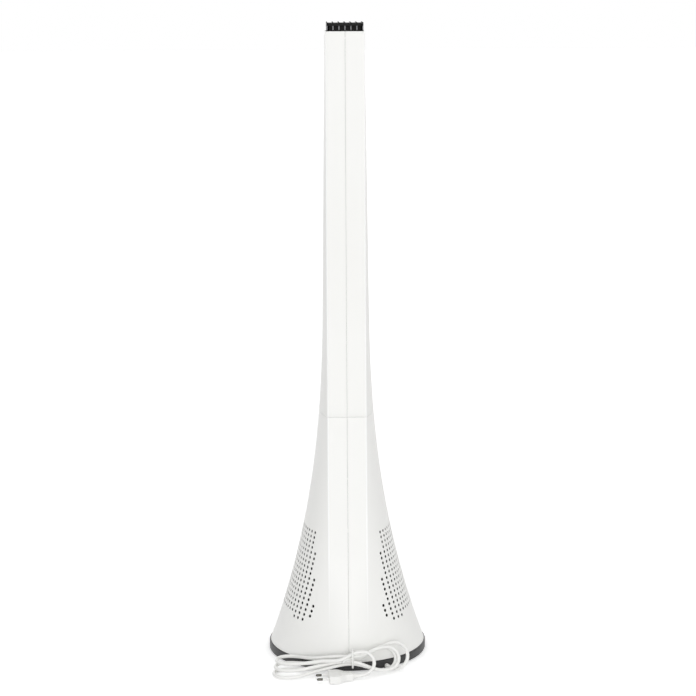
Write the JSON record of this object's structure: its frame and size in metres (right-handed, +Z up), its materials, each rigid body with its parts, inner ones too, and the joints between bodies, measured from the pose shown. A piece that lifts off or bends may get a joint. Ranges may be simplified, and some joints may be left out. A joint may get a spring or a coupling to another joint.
{
  "type": "bladeless tower fan",
  "caption": "Slim bladeless tower fan that flares into a round swivel base, with perforated inlets, a ribbed cap and outlet, buttons and a mains lead tied as a hank.",
  "frame": {"origin": "on the floor, on the swivel axis of the base", "axes": "+Z up the tower, +Y out of the air outlet and the control panel, -Y the back, where the mains lead leaves the base, +X to the right when seen from the back"},
  "size_m": [0.252, 0.3096, 1],
  "materials": {
    "white_abs": "satin white ABS",
    "black_abs": "satin black ABS",
    "grey_abs": "dark grey ABS",
    "natural_plastic": "unpainted polypropylene",
    "steel": "plated steel",
    "zinc": "zinc-plated steel",
    "rubber": "soft black rubber",
    "foam": "open-cell foam",
    "board": "green solder mask",
    "cord_pvc": "soft white PVC",
    "smoked": "smoked acrylic",
    "acetal": "ivory acetal"
  },
  "bodies": {
    "base": {"base_ring": "grey_abs", "bottom_cover": "black_abs", "ballast_plate": "zinc", "foot_1": "rubber", "foot_2": "rubber", "foot_3": "rubber", "foot_4": "rubber", "cover_screw_1": "steel", "cover_screw_2": "steel", "cover_screw_3": "steel", "cord_grommet": "black_abs", "inner_mains_lead": "cord_pvc", "glide_ring": "acetal", "sector_gear": "acetal", "pivot_washer": "steel", "pivot_screw_1": "steel", "pivot_screw_2": "steel", "pivot_screw_3": "steel", "cord_lead": "cord_pvc", "cord_hank": "cord_pvc", "cord_plug_lead": "cord_pvc", "hank_tie": "cord_pvc", "plug_body": "cord_pvc", "plug_strain_relief": "cord_pvc", "plug_pin_1": "steel", "plug_pin_2": "steel"},
    "tower": {"turntable": "grey_abs", "swing_motor": "steel", "power_board": "board", "lower_shell_left": "white_abs", "lower_shell_right": "white_abs", "column_shell_left": "white_abs", "column_shell_right": "white_abs", "inlet_filter_left": "foam", "inlet_filter_right": "foam", "partition": "natural_plastic", "fan_casing": "natural_plastic", "isolating_ring": "rubber", "diffuser": "natural_plastic", "fan_motor": "steel", "duct_liner": "natural_plastic", "guide_vanes": "black_abs", "outlet_grille": "black_abs", "top_cap": "black_abs", "motor_harness": "black_abs", "panel_harness": "black_abs", "control_panel": "black_abs", "display_window": "smoked", "control_board": "board"},
    "pinion": {"drive_pinion": "acetal"},
    "impeller": {"impeller": "natural_plastic"},
    "power_button": {"power_button": "black_abs"},
    "swing_button": {"swing_button": "black_abs"},
    "speed_up_button": {"speed_up_button": "black_abs"},
    "timer_button": {"timer_button": "black_abs"},
    "speed_down_button": {"speed_down_button": "black_abs"},
    "mode_button": {"mode_button": "black_abs"}
  },
  "joints": [
    {"name": "swing", "type": "hinge", "parent": "base", "child": "tower", "pos_m": [0, 0, 0.02], "axis": [0, 0, 1], "range_deg": [-40, 40]},
    {"name": "pinion_spin", "type": "hinge", "parent": "tower", "child": "pinion", "pos_m": [0, 0.0542, 0.016], "axis": [0, 0, 1], "range_deg": [-200, 200]},
    {"name": "impeller_spin", "type": "hinge", "parent": "tower", "child": "impeller", "pos_m": [0, 0, 0.19], "axis": [0, 0, 1], "continuous": true},
    {"name": "power_press", "type": "slide", "parent": "tower", "child": "power_button", "axis": [0, -0.9922, -0.125], "range_m": [0, 0.0008], "stiffness_N_per_m": 600},
    {"name": "swing_press", "type": "slide", "parent": "tower", "child": "swing_button", "axis": [0, -0.9922, -0.125], "range_m": [0, 0.0008], "stiffness_N_per_m": 600},
    {"name": "speed_up_press", "type": "slide", "parent": "tower", "child": "speed_up_button", "axis": [0, -0.9922, -0.125], "range_m": [0, 0.0008], "stiffness_N_per_m": 600},
    {"name": "timer_press", "type": "slide", "parent": "tower", "child": "timer_button", "axis": [0, -0.9922, -0.125], "range_m": [0, 0.0008], "stiffness_N_per_m": 600},
    {"name": "speed_down_press", "type": "slide", "parent": "tower", "child": "speed_down_button", "axis": [0, -0.9922, -0.125], "range_m": [0, 0.0008], "stiffness_N_per_m": 600},
    {"name": "mode_press", "type": "slide", "parent": "tower", "child": "mode_button", "axis": [0, -0.9922, -0.125], "range_m": [0, 0.0008], "stiffness_N_per_m": 600}
  ],
  "couplings": [
    {"joint": "pinion_spin", "follows": "swing", "ratio": 5}
  ]
}
